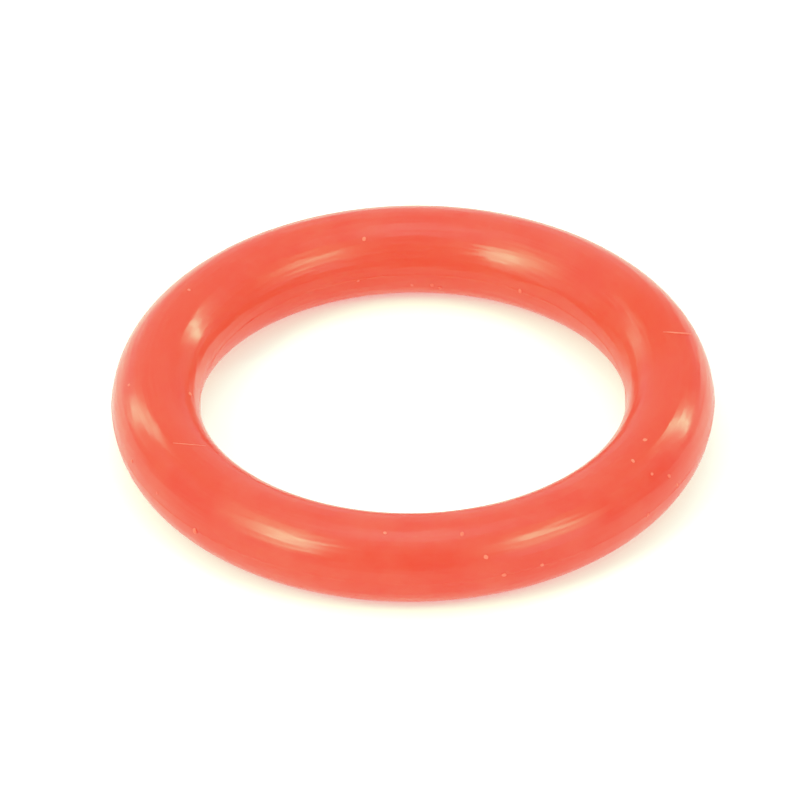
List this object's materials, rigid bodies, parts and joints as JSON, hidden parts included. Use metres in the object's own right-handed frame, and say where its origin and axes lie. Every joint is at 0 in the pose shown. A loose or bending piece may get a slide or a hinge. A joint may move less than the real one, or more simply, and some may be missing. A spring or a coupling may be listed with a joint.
{
  "type": "o-ring",
  "caption": "Silicone rubber sealing ring of round section, moulded in one piece, that seals between a shaft or spigot and its housing.",
  "frame": {"origin": "centre of the ring, on the mould parting plane halfway up its section", "axes": "+Z along the ring's axis, up from the surface that it lies on; X and Y are any two directions across the ring"},
  "size_m": [0.0242, 0.0242, 0.0036],
  "materials": {
    "silicone": "satin"
  },
  "bodies": {
    "root": {"o_ring": "silicone"}
  },
  "joints": []
}
